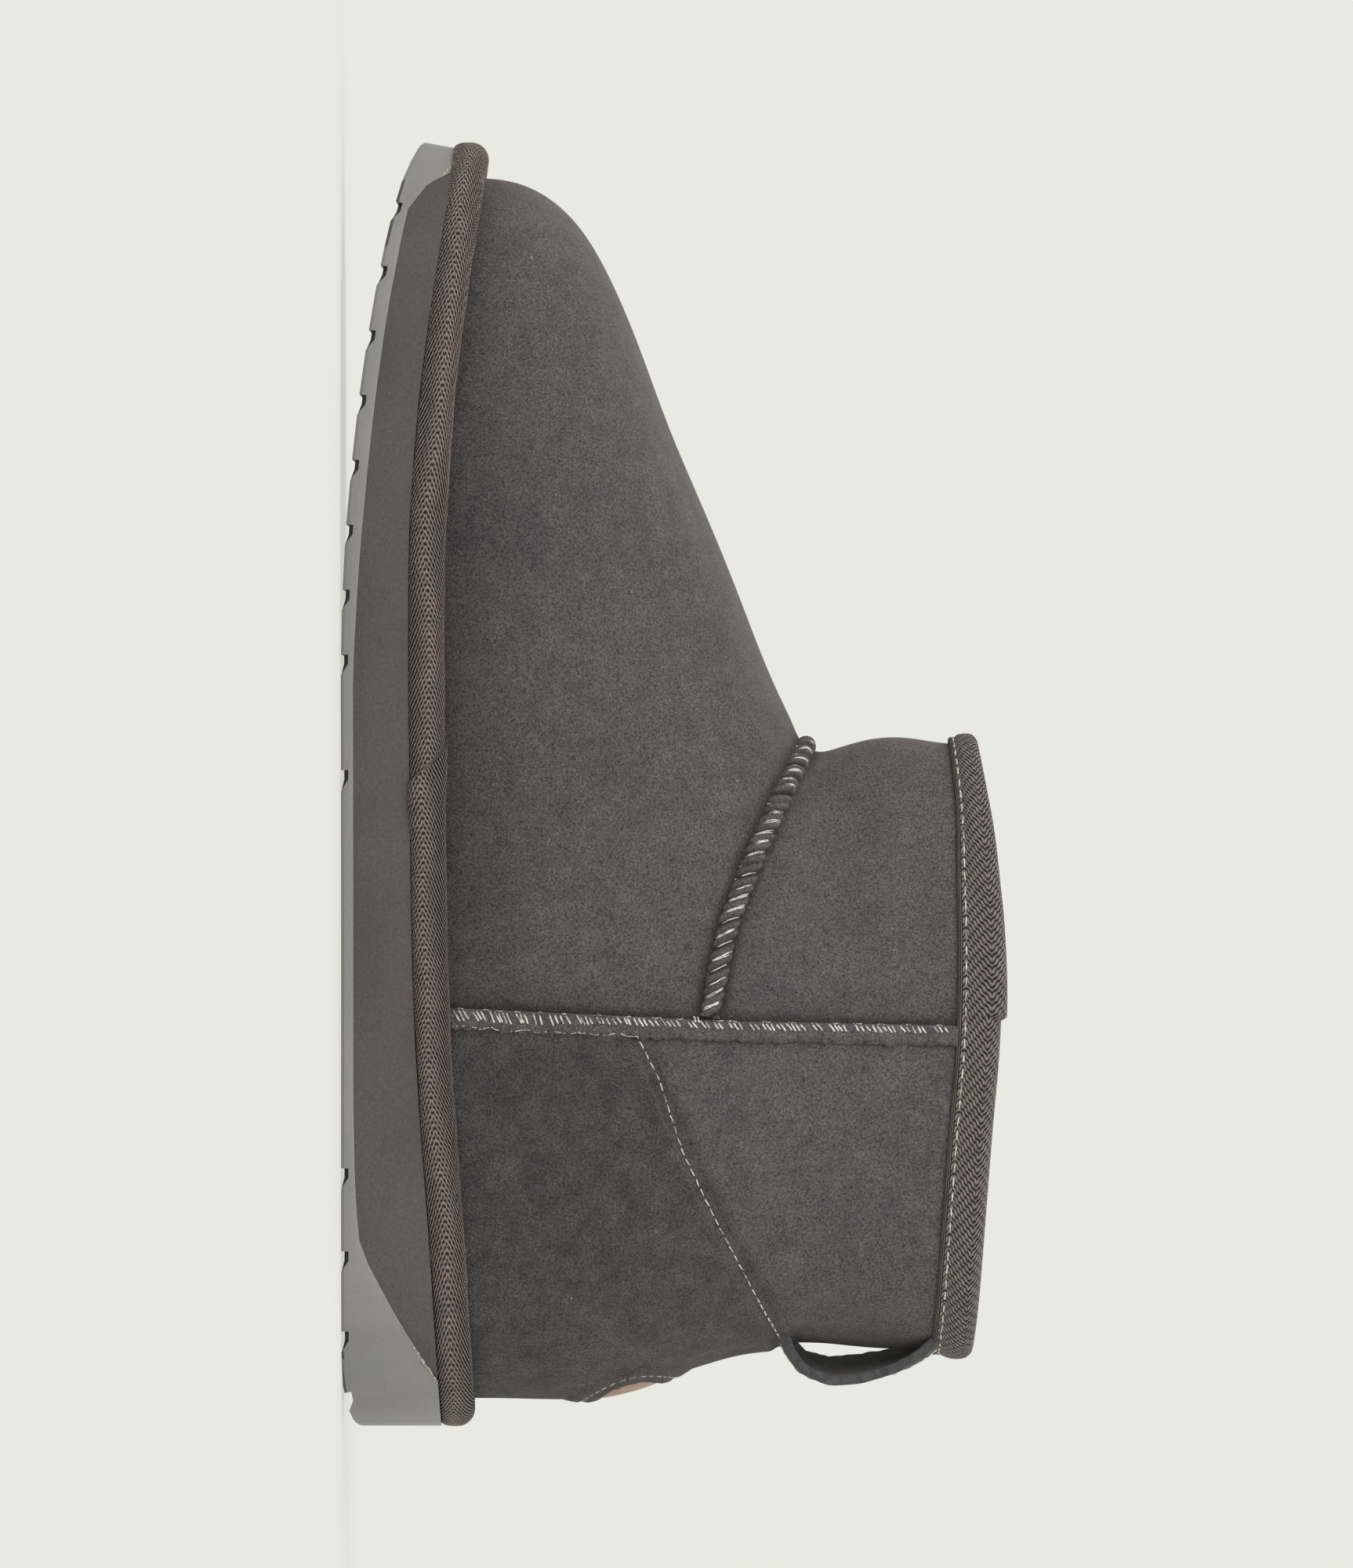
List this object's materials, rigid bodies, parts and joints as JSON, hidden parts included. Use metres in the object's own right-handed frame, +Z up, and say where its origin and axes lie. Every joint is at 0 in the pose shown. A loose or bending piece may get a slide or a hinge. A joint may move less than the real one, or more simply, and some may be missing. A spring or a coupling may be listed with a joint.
{
  "type": "ankle boot",
  "caption": "Low sheepskin ankle boot for the right foot: hollow fleece-lined suede upper, taped edges, heel counter with plain patch, pull loop and two-tone flat sole.",
  "frame": {"origin": "middle of the box that holds the boot, on the floor under the sole", "axes": "+X from the heel to the toe, +Y to the medial (big toe) side, +Z up"},
  "size_m": [0.265, 0.1066, 0.1373],
  "materials": {
    "outsole_rubber": "matte moulded rubber",
    "midsole_foam": "matte foam",
    "sole_tape": "herringbone woven tape",
    "suede": "brushed suede, fleece inside",
    "counter_suede": "brushed suede",
    "patch_leather": "smooth leather",
    "collar_tape": "woven tape",
    "loop_suede": "suede strap with raw edges",
    "fleece": "deep wool pile"
  },
  "bodies": {
    "root": {"outsole": "outsole_rubber", "midsole": "midsole_foam", "rolled_tape": "sole_tape", "upper": "suede", "heel_counter": "counter_suede", "heel_patch": "patch_leather", "collar_binding": "collar_tape", "pull_loop": "loop_suede", "insole": "fleece"}
  },
  "joints": []
}
